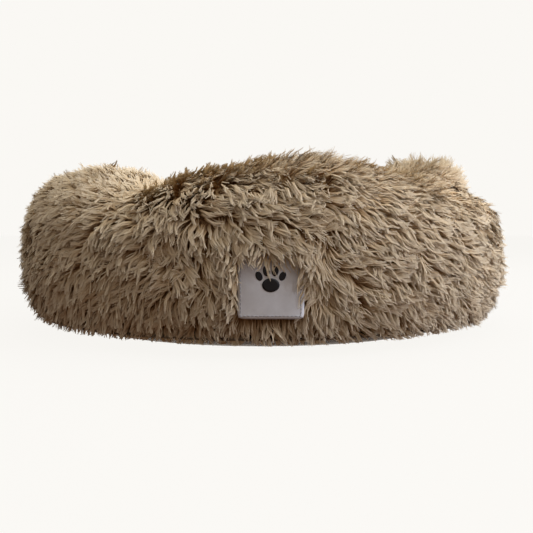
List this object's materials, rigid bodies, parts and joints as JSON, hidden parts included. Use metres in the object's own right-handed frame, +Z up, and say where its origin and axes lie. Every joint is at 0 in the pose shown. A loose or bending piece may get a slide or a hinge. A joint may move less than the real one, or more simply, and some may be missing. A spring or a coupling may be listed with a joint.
{
  "type": "pet cushion bed",
  "caption": "Round donut pet bed: a shaggy plush bolster ring round a sleeping pad on a cloth base, with a sewn label, a rear zip and stuffed inserts.",
  "frame": {"origin": "centre of the bed's footprint, on the floor it stands on", "axes": "+Z up, -Y towards the front, where the label is"},
  "size_m": [0.4996, 0.499, 0.1578],
  "materials": {
    "plush": "long-pile faux fur, beige tips over brown roots",
    "thread": "sewing thread",
    "liner": "thin non-woven cloth",
    "fibre": "polyester fibre filling",
    "base_cloth": "woven cloth with grip dots",
    "label": "woven satin",
    "ink": "printed ink",
    "tape": "woven tape",
    "coil": "moulded nylon",
    "metal": "satin plating",
    "satin": "white satin ribbon"
  },
  "bodies": {
    "bed": {"ring_cover_front": "plush", "ring_cover_right": "plush", "ring_cover_rear": "plush", "ring_cover_left": "plush", "panel_seam_front_left": "thread", "panel_seam_front_right": "thread", "panel_seam_rear_right": "thread", "panel_seam_rear_left": "thread", "ring_liner_upper": "liner", "ring_liner_lower": "liner", "ring_filling": "fibre", "pad_cover": "plush", "pad_liner_top": "liner", "pad_liner_bottom": "liner", "pad_filling": "fibre", "pad_seam_cord": "thread", "base_panel": "base_cloth", "base_binding": "tape", "zip_tape_inner": "tape", "zip_tape_outer": "tape", "zip_coil_inner": "coil", "zip_coil_outer": "coil", "zip_top_stop": "metal", "zip_bottom_stop": "metal", "label_patch": "label", "label_stitching": "thread", "label_print": "ink", "care_label": "satin"},
    "zip_slider": {"zip_slider": "metal"},
    "zip_pull": {"zip_pull": "metal"}
  },
  "joints": [
    {"name": "zip_travel", "type": "hinge", "parent": "bed", "child": "zip_slider", "pos_m": [0, 0, 0], "axis": [0, 0, 1], "range_deg": [0, 102]},
    {"name": "zip_pull_swing", "type": "hinge", "parent": "zip_slider", "child": "zip_pull", "pos_m": [0.17136, 0.13877, 0.0078], "axis": [-0.7771, -0.6293, 0], "range_deg": [-12, 155]}
  ]
}
